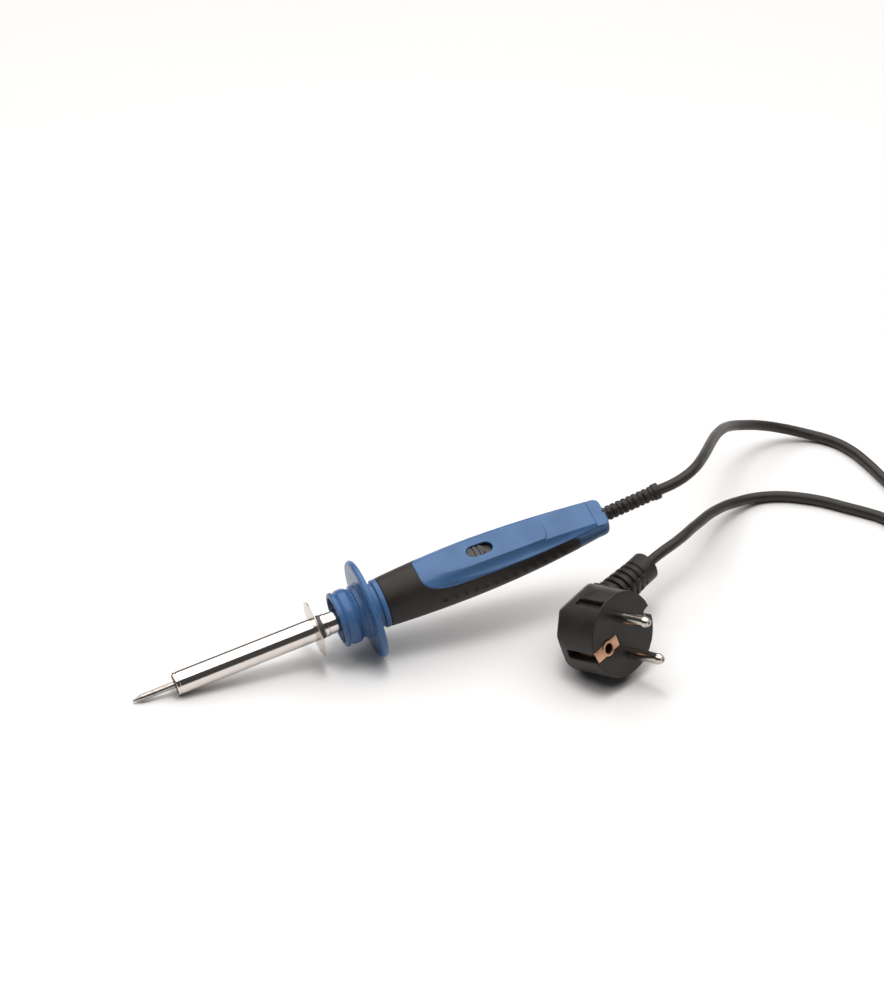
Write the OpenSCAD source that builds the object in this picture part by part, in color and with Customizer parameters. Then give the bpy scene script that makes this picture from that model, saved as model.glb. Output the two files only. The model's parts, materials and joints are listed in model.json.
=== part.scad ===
/* [Pose] */
// Roll of the handle about its own axis, towards the front
roll = 12; // [0:1:25]
// Extra upward bend of the cord where it leaves the tail
relief_bend = 3.4; // [0:0.2:6]

/* [Tip and barrel] */
// Radius of the rounded working point
nose_r = 0.35; // [0.2:0.05:0.8]
// Length of the tapered point
point_len = 4; // [2:0.5:8]
// Radius of the tip's rod
rod_r = 1.45; // [1:0.05:1.8]
// Where the barrel's mouth lies, from the end of the tip
barrel_u = 19.1; // [16:0.1:24]
// Where the barrel ends against the heat disc
disc_u = 82.6; // [70:0.1:95]
// Outer radius of the barrel
barrel_r = 5.1; // [4.9:0.05:6]
// Outer radius of the heat disc
disc_r = 12.25; // [9:0.25:15]

/* [Guard collar] */
// Where the collar's front lip lies
collar_u = 92.6; // [88:0.1:95]
// Radius of the collar's body
collar_r = 12.1; // [11.5:0.1:13]
// Where the middle of the guard flange lies
flange_u = 106.35; // [105.5:0.05:107]
// Outer radius of the guard flange
flange_r = 21.75; // [17:0.25:25]
// Radius of the flange's rounded rim
rim_r = 1.4; // [1:0.1:1.8]

/* [Handle] */
// Where the grip begins
grip_u = 113.8; // [113:0.1:116]
// Radius of the grip at its front end
grip_front_r = 10.7; // [10.2:0.1:11.5]
// Where the handle is thickest
belly_u = 152; // [145:1:158]
// Radius of the handle where it is thickest
belly_r = 12.1; // [11.8:0.1:13]
// Where the handle's tail begins to round off
tail_u = 211; // [208:0.1:212]
// Radius of the handle where the tail rounds off
tail_r = 8.2; // [7.5:0.1:8.5]
// Length of the whole iron, without the strain relief
handle_end = 216; // [215:0.5:218]
// Thickness of the soft grip
grip_wall = 1.8; // [1.4:0.1:2.2]
// Where the blue cover's rounded nose begins
cover_u = 130.4; // [128:0.1:134]
// Height of the flat panel at the cover's nose
panel_z = 11.3; // [11:0.05:11.5]
// Height of the seam between the grip and the cover, at the nose's end
seam_z = 5.5; // [5:0.1:6]

/* [Switch] */
// Where the middle of the switch slot lies
slot_u = 159.25; // [158:0.25:161]
// Length of the switch slot
slot_len = 11.8; // [11.2:0.1:12]
// Width of the switch slot
slot_w = 6.4; // [6:0.1:6.8]
// Length of the switch knob
knob_len = 8; // [7.5:0.1:8.2]

/* [Cord and plug] */
// Diameter of the mains cord
cord_d = 4.6; // [4:0.1:5]
// Length of the strain relief outside the handle
relief_len = 26; // [22:1:30]
// Radius of the plug's round face
plug_r = 18.5; // [18:0.25:19]
// Distance between the two plug pins
pin_pitch = 19; // [18.5:0.1:19.5]
// Length of each plug pin
pin_len = 19; // [18:0.5:19.5]
// Radius of each plug pin
pin_r = 2.4; // [2.3:0.05:2.5]

/* [Hidden] */
$fn = 64;

blue = "#3c6197";
black = "#33302c";
steel = "#c9c6bf";
brass = "#b9975b";

gap = 0.05;         // clearance between pieces that seat in each other
far = 60;           // more than any cross-section, for cutting shapes

// Lean of the iron: the lip of the barrel's mouth and the flange's rim both touch the ground.
lip_r = 0.5;
rim_circle = flange_r - rim_r;
rim_rise = rim_circle - (barrel_r - lip_r);
rim_run = flange_u - (barrel_u + lip_r);
lean = atan2(rim_rise, rim_run) + asin((rim_r - lip_r) / norm([rim_rise, rim_run]));
nose_z = rim_circle * cos(lean) + rim_r - (flange_u - nose_r) * sin(lean);
relief_end_r = 3.6;
relief_lean = lean + relief_bend;
// Place of the handle's end and of the relief's end, from the middle of the nose ball
tail_x = (handle_end - nose_r) * cos(lean);
tail_z = (handle_end - nose_r) * sin(lean) + nose_z;
exit_x = tail_x + relief_len * cos(relief_lean);
exit_z = tail_z + relief_len * sin(relief_lean);
// The origin is under the middle of the iron
shift_x = -(exit_x + relief_end_r * sin(relief_lean) - nose_r) / 2;

// Tip thread, socket and heater, in stations along the axis
thread_r = 2;
thread_u = 22;
thread_len = 12;
thread_pitch = 0.7;
socket_u = barrel_u + 1.2;
socket_end = 38;
tube_in_r = barrel_r - 0.4;
core_r = 3;
core_end = 78;
wire_r = 0.22;
coil_r = 3.4;
coil_turns = 13;
coil_pitch = 2.5;
coil_steps = 16;
neck_r = 4.65;
neck_wall = 0.45;
neck_end = 107.2;

// Collar stations
collar_wall = 1.8;
neck_ring_u = flange_u + 3.3;
spigot_r = 8.4;
spigot_u = 103.6;

// Handle stations and walls
seam_slope = -0.036;
nose_len = 17;
panel_slope = 3.4;
panel_end_u = 188.6;
panel_step = 0.35;
rear_drop = 0.105;
grip_end_u = 199;
bore_step = 4.4;
cavity_u = 109;
cavity_end = 205;
cavity_depth = 3.9;
cove_r = 5.35;
relief_r = 3.2;
screw_us = [142, 182];
swell_front = (belly_r - grip_front_r) / pow(belly_u - grip_u, 2);
swell_tail = (belly_r - tail_r) / pow(tail_u - belly_u, 2);

// Switch sizes, down from the panel
knob_w = slot_w - 0.4;
knob_u = -slot_len / 2 + knob_len / 2 + 0.25;
skirt_front = 0.4;
skirt_back = 3;
case_l = 15;
case_w = 7.4;
case_top = -2.5;
case_bottom = -8;
contact_us = [-0.15, 3.45];

// Cord
cord_r = cord_d / 2;
sheath_u = 188;
coil_x = 269;
coil_y = -26;
coil_out = 36.3;
coil_in = 15.9;
// The cord from the strain relief to the coil
LEAD = [[exit_x + shift_x, 0, exit_z], [124.8, 0, 50.16], [131, 1.8, 51.2], [137.3, 6.3, 51],
        [142.8, 12.7, 49.4],
        [149.8, 22.7, 46], [158.3, 36.1, 40.6], [166.8, 49, 34], [176.3, 61, 26.5], [187.2, 69.4, 19],
        [199.2, 74.3, 12.4], [210.6, 75.2, 7], [220.1, 72.6, 3.6], [228, 66.5, 2.4], [233.4, 56.9, 2.4],
        [236.8, 43.3, 2.4], [238.7, 30.3, 2.4], [240.7, 21.7, 2.4], [245.1, 14.7, 2.4], [251.6, 9.9, 2.4],
        [260, 8, 2.4]];
// The cord from the coil to the plug
TAIL = [[235.4, -28.8, 6], [233.5, -17.7, 4.4], [230.6, -6.7, 2.8], [226.6, 3.9, 2.4], [220.7, 11, 2.4],
        [214.3, 17.5, 2.4], [207.3, 24.6, 2.4], [199.4, 30.7, 2.4], [191, 35.3, 2.4], [181.5, 37.4, 2.8],
        [170.4, 34.5, 5.3], [156.2, 25, 11.1], [139.8, 9.7, 17.6], [126.5, -2.6, 21.6]];

// Plug place and build: +X leaves the face along the pins, +Z runs out along the cord
plug_at = [78.8, -57.1, 22.65];
plug_turn = [-82, -17.5, -63];
boot_x = -25;
boot_z = 21;
boot_end = 45;
boot_r = 7.8;
boot_tip_r = 6.6;
earth_z = -10;
socket_r = 2.45;
pin_shank_r = 2;
clip_w = 5.4;
strip_w = 3.2;
clip_t = 0.6;
clip_len = 14;
clip_z = plug_r - 2.3;

function unit(v) = v / norm(v);
// Radius of the handle's skin at a station on its axis
function skin_r(u) = u <= tail_u
    ? belly_r - pow(u - belly_u, 2) * (u < belly_u ? swell_front : swell_tail)
    : relief_r + (tail_r - relief_r) * sqrt(max(0, 1 - pow((u - tail_u) / (handle_end - tail_u), 2)));
function panel_at(u) = panel_z - (u - cover_u) * tan(panel_slope);
function seam_at(u) = seam_z + (u - cover_u - nose_len) * seam_slope;

// Along the handle's axis: +X runs from the tip to the tail
module place() {
    translate([shift_x, 0, nose_z]) rotate([0, -lean, 0]) rotate([roll, 0, 0])
        translate([-nose_r, 0, 0]) children();
}

// Beyond the handle's end, where the strain relief is bent up a little
module bent_tail() {
    translate([handle_end, 0, 0]) rotate([-roll, 0, 0]) rotate([0, -relief_bend, 0]) children();
}

module along_x(u) {
    translate([u, 0, 0]) rotate([0, 90, 0]) children();
}

module rod(u0, u1, r) {
    along_x(u0) cylinder(r = r, h = u1 - u0);
}

module tube(u0, u1, r_out, r_in) {
    difference() {
        rod(u0, u1, r_out);
        rod(u0 - 1, u1 + 1, r_in);
    }
}

// Rod that follows the bend at the handle's end
module bent_rod(u0, reach, r) {
    out = [cos(relief_bend), sin(relief_bend) * sin(roll), sin(relief_bend) * cos(roll)];
    sweep([[u0, 0, 0], [handle_end, 0, 0], [handle_end, 0, 0] + reach * out], r, 24);
}

module on_panel(u) {
    translate([u, 0, panel_at(u)]) rotate([0, panel_slope, 0]) children();
}

// Solid of the handle's skin shrunk by inset, between two stations
module skin(inset, u0, u1) {
    steps = ceil((u1 - u0) / bore_step);
    stations = [for (i = [0:steps]) u0 + (u1 - u0) * i / steps];
    rotate([0, 90, 0]) rotate_extrude()
        polygon(concat([[0, u0]], [for (u = stations) [skin_r(u) - inset, u]], [[0, u1]]));
}

// A slab across the handle with the given outline in its upright middle plane
module slab(outline) {
    rotate([90, 0, 0]) translate([0, 0, -far / 2]) linear_extrude(far) polygon(outline);
}

// Everything above the seam between the cover and the soft grip, raised by lift
module above_seam(lift) {
    nose = [for (a = [0:15:90])
        [cover_u + nose_len * (1 - cos(a)), panel_z + (seam_z + lift - panel_z) * sin(a)]];
    slab(concat([[cover_u, far]], nose, [[far * 5, seam_at(far * 5) + lift], [far * 5, far]]));
}

// Everything above the joint between the two shells
module above_joint() {
    slab([[0, far], [0, seam_at(0)], [far * 5, seam_at(far * 5)], [far * 5, far]]);
}

// Everything behind the slanted end of the soft grip
module behind_grip(back) {
    slab([[grip_end_u + back, far / 2], [grip_end_u + 4 + back, -far / 2],
          [far * 5, -far / 2], [far * 5, far / 2]]);
}

// Round tube swept along a list of points that never runs along the direction up
module sweep(path, r, sides, up = [0, 0, 1]) {
    last = len(path) - 1;
    rings = [for (i = [0:last])
        let (t = unit(path[min(i + 1, last)] - path[max(i - 1, 0)]),
             s = unit(cross(up, t)),
             n = cross(t, s))
        for (k = [0:sides - 1]) path[i] + r * (cos(360 * k / sides) * s + sin(360 * k / sides) * n)];
    skins = [for (i = [0:last - 1]) for (k = [0:sides - 1])
        let (a = i * sides + k, b = i * sides + (k + 1) % sides)
        for (face = [[a, a + sides, b + sides], [a, b + sides, b]]) face];
    caps = [[for (k = [0:sides - 1]) k], [for (k = [sides - 1:-1:0]) last * sides + k]];
    polyhedron(rings, concat(skins, caps));
}

// Replaceable working tip: rounded point, rod and screw thread
module tip() {
    color(steel) place() {
        thread = [for (i = [0:thread_len / thread_pitch - 1])
            for (p = [[thread_r, 0.15], [thread_r, 0.35], [thread_r - 0.3, 0.6]])
                [p[0], thread_u + i * thread_pitch + p[1]]];
        nose = [for (a = [0:15:75]) [nose_r * sin(a), nose_r * (1 - cos(a))]];
        rotate([0, 90, 0]) rotate_extrude()
            polygon(concat(nose, [[rod_r, point_len], [rod_r, thread_u]], thread,
                           [[0, thread_u + thread_len]]));
    }
}

// Brass insert that the tip screws into
module tip_socket() {
    color(brass) place() tube(socket_u, socket_end, tube_in_r - gap, thread_r + gap);
}

// Ceramic former of the heater, with an end collar each side of the winding
module heater_core() {
    color("#e9e4d6") place() difference() {
        union() {
            rod(socket_end + 0.5, core_end, core_r);
            rod(socket_end + 0.5, socket_end + 2, core_r + 0.8);
            rod(core_end - 2, core_end, core_r + 0.8);
        }
        rod(socket_end, core_end + 1, 1.2);
    }
}

// Resistance wire wound on the former
module heater_winding() {
    start = 42;
    turns = [for (i = [0:coil_turns * coil_steps])
        let (a = 360 * i / coil_steps)
        [start + coil_pitch * i / coil_steps, coil_r * cos(a), coil_r * sin(a)]];
    color("#8d8a86") place() sweep(turns, wire_r, 6, [1, 0, 0]);
}

// Mica sleeve between the winding and the barrel
module mica_sleeve() {
    color("#cdbb93") place() tube(socket_end + 2.2, core_end - 1, tube_in_r - 0.3, tube_in_r - 0.7);
}

// Nickel-plated barrel with a rolled lip at its mouth
module barrel() {
    lip = [for (a = [0:30:90]) [barrel_r - lip_r + lip_r * sin(a), barrel_u + lip_r - lip_r * cos(a)]];
    color(steel) place() rotate([0, 90, 0]) rotate_extrude()
        polygon(concat([[tube_in_r - 0.5, barrel_u]], lip,
                       [[barrel_r, disc_u], [tube_in_r, disc_u], [tube_in_r, barrel_u + 1],
                        [tube_in_r - 0.5, barrel_u + 0.8]]));
}

// Thin steel disc that screens the collar from the barrel's heat
module heat_disc() {
    color(steel) place() tube(disc_u, disc_u + 0.6, disc_r, tube_in_r);
}

// Dark ring behind the heat disc
module spacer_ring() {
    color("#4a4643") place() tube(disc_u + 0.9, disc_u + 4.4, neck_r + 0.3, neck_r + gap);
}

// Tube that carries the barrel, with a flange held inside the handle
module neck_tube() {
    color(steel) place() difference() {
        union() {
            rod(disc_u - 4, neck_end, neck_r);
            along_x(disc_u + 5.2) rotate_extrude() translate([neck_r - 0.25, 0]) circle(r = 0.5, $fn = 16);
            rod(neck_end - 1, neck_end, neck_r + 2);
        }
        rod(disc_u - 5, neck_end + 1, neck_r - neck_wall);
    }
}

// Guard collar: hollow cup, ribs, wide guard flange and rear ring
module guard_collar() {
    f = flange_u;
    rim = [for (a = [150:-30:-150]) [flange_r - rim_r + rim_r * cos(a), f + rim_r * sin(a)]];
    rim_back = [for (a = [-90:30:90]) [flange_r - rim_r + rim_r * cos(a), f + rim_r * sin(a)]];
    cup = [for (a = [0:30:90]) [collar_r - 0.8 + 0.8 * sin(a), collar_u + 0.8 * (1 - cos(a))]];
    belly = [for (a = [-60:20:60]) [collar_r - 1.4 + 1.4 * cos(a), collar_u + 5.1 + 3.1 * sin(a)]];
    color(blue) place() rotate([0, 90, 0]) rotate_extrude()
        polygon(concat([[collar_r - collar_wall, collar_u]], cup,
            [[collar_r, collar_u + 1.6], [collar_r - 1, collar_u + 1.9]], belly,
            [[collar_r - 1.2, collar_u + 8.6], [collar_r - 1.2, collar_u + 9],
             [collar_r - 0.3, collar_u + 9.5],
             [collar_r - 0.3, f - 2.2], [collar_r + 0.8, f - rim_r - 0.1]], rim_back,
            [[collar_r + 0.8, f + rim_r + 0.2], [collar_r - 1.4, f + 2.4], [9.7, neck_ring_u],
             [9.7, f + 4.9], [grip_front_r - 0.3, f + 5.1], [grip_front_r, f + 5.5],
             [grip_front_r, grip_u - gap],
             [spigot_r + gap, grip_u - gap], [spigot_r + gap, spigot_u - gap], [neck_r + 0.2, spigot_u - gap],
             [neck_r + 0.2, collar_u + 4], [collar_r - collar_wall - 0.4, collar_u + 3.6]]));
}

// Soft black grip: a full ring in front, then the handle's sides and belly
module grip_sleeve() {
    color(black) place() difference() {
        skin(0, grip_u, grip_end_u + 5);
        skin(grip_wall, grip_u - 1, grip_end_u + 6);
        above_seam(0);
        behind_grip(0);
        for (u = screw_us) translate([u, 0, -far]) cylinder(r = 2.9, h = far);
    }
}

// Everything under the cover's flat panel, its step and the rounded tail
module below_panel() {
    end_z = panel_at(panel_end_u);
    rear_z = end_z - panel_step - (tail_u - panel_end_u) * rear_drop;
    slab([[0, -far], [0, panel_at(0)], [panel_end_u, end_z], [panel_end_u + 0.3, end_z - panel_step],
          [tail_u, rear_z], [tail_u + 0.8, rear_z - 1], [handle_end - 1.6, rear_z - 1.4],
          [handle_end, relief_r + 0.2], [handle_end + far, relief_r], [handle_end + far, -far]]);
}

// Hollow of the handle, for the parts inside
module cavity() {
    skin(cavity_depth, cavity_u, cavity_end);
    rod(cavity_end - 1, handle_end + 1, relief_r + gap);
    rod(cavity_end + 1.5, cavity_end + 4, relief_r + 1.2);
    rod(spigot_u + 1.6, cavity_u + 1, neck_r + 2.2);
    rod(spigot_u - 1, cavity_u, neck_r + 0.1);
}

// Inner body of the handle, as the soft grip sees it
module core_body() {
    skin(grip_wall + gap, grip_u - gap, grip_end_u + 4);
    rod(spigot_u, grip_u + 1, spigot_r);
}

// Scooped flanks under the panel's two long edges
module flank_coves() {
    for (side = [-1, 1]) {
        translate([136, side * 12.5, 12.5]) {
            sphere(r = cove_r);
            rotate([0, 0, -side * 1.35]) rotate([0, 93.2, 0]) cylinder(r = cove_r, h = 95);
        }
    }
}

// Stadium-shaped pillar in the panel's own frame
module stadium(length, width, z0, z1, middle = 0) {
    reach = (length - width) / 2;
    for (s = [-1, 1]) translate([middle + s * reach, 0, z0]) cylinder(d = width, h = z1 - z0);
    translate([middle - reach, -width / 2, z0]) cube([2 * reach, width, z1 - z0]);
}

module box(l, w, z0, z1, middle = 0) {
    translate([middle - l / 2, -w / 2, z0]) cube([l, w, z1 - z0]);
}

// Blue cover with the flat panel, the switch slot and two screw bosses
module upper_shell() {
    color(blue) place() difference() {
        union() {
            difference() {
                intersection() {
                    union() {
                        core_body();
                        difference() {
                            skin(0, cover_u, handle_end);
                            difference() {
                                skin(-1, cover_u - 1, cover_u + nose_len + 4);
                                above_seam(gap);
                            }
                        }
                    }
                    above_joint();
                    below_panel();
                }
                flank_coves();
                cavity();
                on_panel(slot_u) box(case_l + 3, case_w + 2.4, -6, -1.5);
            }
            intersection() {
                for (u = screw_us) translate([u, 0, 0.5]) cylinder(r = 2.4, h = far);
                skin(cavity_depth - 0.3, cavity_u, cavity_end);
            }
        }
        on_panel(slot_u) stadium(slot_len, slot_w, -6, 1);
        for (u = screw_us) translate([u, 0, 0]) cylinder(r = 1.25, h = 6);
    }
}

// Lower shell under the grip, blue where it shows behind the grip's end
module lower_shell() {
    color(blue) place() difference() {
        union() {
            difference() {
                union() {
                    core_body();
                    intersection() {
                        skin(0, grip_end_u - 4, handle_end);
                        behind_grip(gap);
                    }
                }
                translate([0, 0, gap]) above_joint();
                above_joint();
                cavity();
            }
            intersection() {
                union() {
                    for (u = screw_us) translate([u, 0, -far]) cylinder(r = 2.8, h = far + 0.4);
                    for (s = [-1, 1]) translate([194, s * 3.5, -far]) cylinder(r = 1.1, h = far + cord_r);
                }
                skin(cavity_depth - 0.3, cavity_u, cavity_end);
            }
        }
        for (u = screw_us) translate([u, 0, -far]) {
            cylinder(r = 1.4, h = far + 1);
            cylinder(r = 2.7, h = far - 6.5);
        }
        for (s = [-1, 1]) translate([194, s * 3.5, -1]) cylinder(r = 0.75, h = 5);
    }
}

// Cross-recessed pan-head screw standing on its head, thread upwards
module screw(head_r, head_h, shank_r, length) {
    difference() {
        union() {
            cylinder(r = head_r, h = head_h);
            cylinder(r = shank_r, h = head_h + length);
        }
        for (a = [0, 90])
            rotate([0, 0, a]) translate([-head_r * 0.6, -0.25, -1]) cube([head_r * 1.2, 0.5, 1.6]);
    }
}

// The two screws that hold the shells together, from below
module shell_screws() {
    color(steel) place() for (u = screw_us) translate([u, 0, -6.5 - 1.8]) screw(2.5, 1.75, 1.2, 10);
}

// Slide switch knob: a bar between two grooves on top, and a skirt that closes the slot behind it
module switch_knob() {
    color("#4b4a48") place() on_panel(slot_u) translate([knob_u, 0, 0]) difference() {
        union() {
            stadium(knob_len, knob_w, -1.8, -0.3);
            box(knob_len + skirt_front + skirt_back, knob_w + 0.8, -2.3, -1.7,
                (skirt_back - skirt_front) / 2);
            box(2.4, 2, -5.4, -2, 0);
        }
        for (s = [-1, 1]) box(0.9, knob_w + 2, -1, 1, s * 1.05);
    }
}

// Copper bridge that the knob carries over the switch's contacts
module switch_wiper() {
    color(brass) place() on_panel(slot_u) translate([knob_u, 0, 0]) {
        box(5, 4.4, -6, -5.4, 0);
        for (s = [-1, 1]) box(0.8, 4.4, -6.4, -6, s * 1.8);
    }
}

// Switch case, open on top for the knob's stem
module switch_housing() {
    color("#24282c") place() on_panel(slot_u) difference() {
        box(case_l, case_w, case_bottom, case_top);
        box(case_l - 2.4, case_w - 2.4, -6.6, case_top - 0.7);
        box(slot_len - 1.6, 2.6, -6, 0);
        for (c = contact_us) box(1.1, 2.7, case_bottom - 1, -6, c);
    }
}

// Brass contact blades under the switch
module switch_contacts() {
    color(brass) place() on_panel(slot_u) for (c = contact_us) box(1, 2.6, -11, -6.6, c);
}

// Ceramic terminal block that joins the heater to the cord
module terminal_block() {
    color("#e4dfd2") place() difference() {
        translate([118, -4.8, -4.3]) cube([13, 9.6, 6]);
        for (y = [-2.6, 2.6]) {
            translate([117, y, -1.8]) rotate([0, 90, 0]) cylinder(r = 1.1, h = 15);
            for (u = [121.4, 127.6]) translate([u, y, -1.8]) cylinder(r = 0.9, h = 5);
        }
    }
}

// Clamping screws of the terminal block
module terminal_screws() {
    color(steel) place() for (y = [-2.6, 2.6]) for (u = [121.4, 127.6])
        translate([u, y, -0.6]) difference() {
            cylinder(r = 0.8, h = 2.6);
            translate([-1, -0.2, 2]) cube([2, 0.4, 1]);
        }
}

// Sleeved leads from the heater to the terminal block
module heater_leads() {
    color("#d8d3c4") place() for (y = [-2.6, 2.6]) rod_at(core_end + 0.2, 120, y, -1.8, 0.8);
}

module rod_at(u0, u1, y, z, r) {
    translate([u0, y, z]) rotate([0, 90, 0]) cylinder(r = r, h = u1 - u0, $fn = 24);
}

// Wire that runs through the handle by the given points
module wire(points) {
    place() sweep(points, 0.8, 6);
}

// Live wire to the switch, and from the switch to the terminal block
module live_wires() {
    color("#6b3f26") {
        wire([[sheath_u - 0.2, -1.3, 0.4], [186.6, -1.3, 0.4], [184.3, -3.9, 0.2], [178, -4.3, -0.6],
              [170, -3.6, -1.2], [163, -1.6, -1.6]]);
        wire([[157.5, -1.6, -1.6], [150, -3.6, -1.6], [144, -4.6, -1.8], [138, -4.2, -1.8], [133, -2.8, -1.8],
              [128.8, -2.6, -1.8]]);
    }
}

// Neutral wire from the cord to the terminal block
module neutral_wire() {
    color("#2f5f9e") wire([[sheath_u - 0.2, 1.3, 0.4], [186.6, 1.3, 0.4], [184.3, 3.9, 0.2], [178, 4.6, -1],
                           [165, 5, -2],
                           [150, 5, -2.2], [138, 4.4, -2], [133, 2.9, -1.8], [128.8, 2.6, -1.8]]);
}

// Earth wire from the cord to the tag on the neck tube
module earth_wire() {
    color("#7f9a2f") wire([[sheath_u - 0.2, 0, -1.2], [186.9, 0, -1.2], [186, 1.4, -2.6], [182.4, 4.6, -3.8],
                           [170, 3.2, -5.2], [150, 2.6, -5.8], [140, 3.9, -5.4], [134, 3, -5.6],
                           [126, 0, -5.6],
                           [118, 0, -5.5], [113.4, 0, -5.3]]);
}

// Earth tag welded to the neck tube's flange
module earth_tag() {
    color(brass) place() {
        translate([neck_end, -1.6, -6.1]) cube([0.5, 3.2, 1.6]);
        translate([neck_end, -1.6, -6.1]) cube([6, 3.2, 0.5]);
    }
}

// Strap that clamps the cord inside the handle
module cord_clamp() {
    color(steel) place() difference() {
        translate([192.4, -4.6, cord_r]) cube([3.2, 9.2, 0.8]);
        for (s = [-1, 1]) translate([194, s * 3.5, 0]) cylinder(r = 0.8, h = 5);
    }
}

// The clamp's two screws
module clamp_screws() {
    color(steel) place() for (s = [-1, 1]) translate([194, s * 3.5, cord_r + 1.7])
        rotate([180, 0, 0]) screw(1.05, 0.85, 0.65, 3.4);
}

// Cord sheath from the clamp to the end of the strain relief
module cord_inner() {
    color(black) place() bent_rod(sheath_u, relief_len, cord_r);
}

// Ribbed strain relief, held in the tail by its inner flange
module strain_relief() {
    ring_gap = 2.4;
    bore = cord_r + 0.1;
    color(black) place() difference() {
        union() {
            rod(cavity_end + 1.6, cavity_end + 3.9, relief_r + 1.1);
            rod(cavity_end, handle_end, relief_r);
            bent_tail() {
                rod(-0.5, relief_len - 3, relief_r - 0.45);
                for (i = [0:8]) rod(0.3 + i * ring_gap, 0.3 + i * ring_gap + 1.3, relief_r);
                rod(relief_len - 3.4, relief_len, relief_end_r);
            }
        }
        bent_rod(cavity_end - 1, relief_len + 1, bore);
    }
}

// Cord between the strain relief and the coil
module cord_lead() {
    color(black) sweep(LEAD, cord_r, 10);
}

// Cord wound up flat, as one closed ring
module cord_coil() {
    color(black) translate([coil_x, coil_y, 0]) difference() {
        cylinder(r = coil_out, h = 2 * cord_d);
        translate([0, 0, -1]) cylinder(r = coil_in, h = 2 * cord_d + 2);
    }
}

// Cord between the coil and the plug
module cord_tail() {
    plug_exit = plug_point([boot_x, 0, boot_end]);
    color(black) sweep(concat(TAIL, [plug_exit + 6 * (plug_point([0, 0, 1]) - plug_point([0, 0, 0])),
                                     plug_exit]),
                       cord_r, 10);
}

// A point of the plug's own frame in the row frame
function turn_x(v, a) = [v[0], v[1] * cos(a) - v[2] * sin(a), v[1] * sin(a) + v[2] * cos(a)];
function turn_y(v, a) = [v[0] * cos(a) + v[2] * sin(a), v[1], -v[0] * sin(a) + v[2] * cos(a)];
function turn_z(v, a) = [v[0] * cos(a) - v[1] * sin(a), v[0] * sin(a) + v[1] * cos(a), v[2]];
function plug_point(v) = plug_at + turn_z(turn_y(turn_x(v, plug_turn[0]), plug_turn[1]), plug_turn[2]);

module at_plug() {
    translate(plug_at) rotate(plug_turn) children();
}

// Moulded plug body with side grooves, contact recesses and ribbed boot
module plug_body() {
    back = -30.8;
    half = [[1, 18.5], [0, 18.5], [-12, 18.3], [-20, 16.4], [back, 8.5]];
    from_above = concat(half, [for (i = [4:-1:0]) [half[i][0], -half[i][1]]]);
    from_side = [[1, -19], [1, 19], [-28.5, 19], [back, 2.5], [-28, -8], [-22, -17], [-14, -19]];
    color(black) at_plug() difference() {
        union() {
            intersection() {
                union() {
                    rod(back, 0, plug_r);
                    translate([back, -9, 0]) cube([-16 - back, 18, 20]);
                }
                translate([0, 0, -20]) linear_extrude(45) polygon(from_above);
                slab(from_side);
            }
            translate([boot_x, 0, boot_z - 5])
                cylinder(r1 = boot_r - 1, r2 = boot_tip_r - 0.9, h = boot_end - boot_z + 4);
            for (i = [0:4]) translate([boot_x, 0, boot_z + i * 3.6])
                cylinder(r = boot_r - i * 0.25, h = 2);
            translate([boot_x, 0, boot_end - 7]) cylinder(r = boot_tip_r, h = 7);
        }
        for (s = [-1, 1]) {
            translate([-clip_len, s * plug_r - 1.5, -5.5]) cube([clip_len - 1, 3, 3]);
            translate([-clip_len, -strip_w / 2 - 0.3, s * plug_r - 2.7])
                cube([clip_len + 1, strip_w + 0.6, 5.4]);
            translate([0, s * pin_pitch / 2, 0]) rod(-12, 1, pin_shank_r + gap);
        }
        translate([-0.8, -clip_w / 2 - 0.1, -plug_r]) cube([2, clip_w + 0.2, plug_r - 3.4]);
        translate([0, 0, earth_z]) rod(-18, 1, socket_r + 0.75);
        rod(-12.1, -3.9, 13.1);
        translate([boot_x, 0, boot_end - 8]) cylinder(r = cord_r, h = 9);
    }
}

// Stiff inner bridge that carries the pins and the earth socket
module plug_bridge() {
    color("#d9d6cd") at_plug() difference() {
        rod(-12, -4, 13);
        for (s = [-1, 1]) translate([0, s * pin_pitch / 2, 0]) rod(-13, -3, pin_shank_r + gap);
        translate([0, 0, earth_z]) rod(-13, -3, socket_r + 0.75);
    }
}

// Two round contact pins with ball ends and thinner shanks inside the body
module plug_pins() {
    color(steel) at_plug() for (s = [-1, 1]) translate([0, s * pin_pitch / 2, 0]) {
        rod(-11.5, 0, pin_shank_r);
        rod(0, pin_len - pin_r, pin_r);
        translate([pin_len - pin_r, 0, 0]) sphere(r = pin_r);
    }
}

// Earth contact strips on both sides, one with the plate round the earth hole
module plug_earth_clips() {
    color("#b98c6d") at_plug() {
        for (s = [-1, 1]) translate([-clip_len + 0.6, -strip_w / 2, s * clip_z - clip_t / 2])
            cube([clip_len - 0.6, strip_w, clip_t]);
        difference() {
            translate([-clip_t, -clip_w / 2, -clip_z]) cube([clip_t, clip_w, clip_z - 4]);
            translate([0, 0, earth_z]) rod(-2, 2, socket_r);
        }
    }
}

// Brass tube behind the earth hole
module plug_earth_socket() {
    color(brass) at_plug() translate([0, 0, earth_z]) tube(-17, -clip_t - 0.2, socket_r + 0.65, socket_r);
}

tip();
tip_socket();
heater_core();
heater_winding();
mica_sleeve();
barrel();
heat_disc();
spacer_ring();
neck_tube();
guard_collar();
grip_sleeve();
upper_shell();
lower_shell();
shell_screws();
switch_knob();
switch_wiper();
switch_housing();
switch_contacts();
terminal_block();
terminal_screws();
heater_leads();
live_wires();
neutral_wire();
earth_wire();
earth_tag();
cord_clamp();
clamp_screws();
cord_inner();
strain_relief();
cord_lead();
cord_coil();
cord_tail();
plug_body();
plug_bridge();
plug_pins();
plug_earth_clips();
plug_earth_socket();
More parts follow.
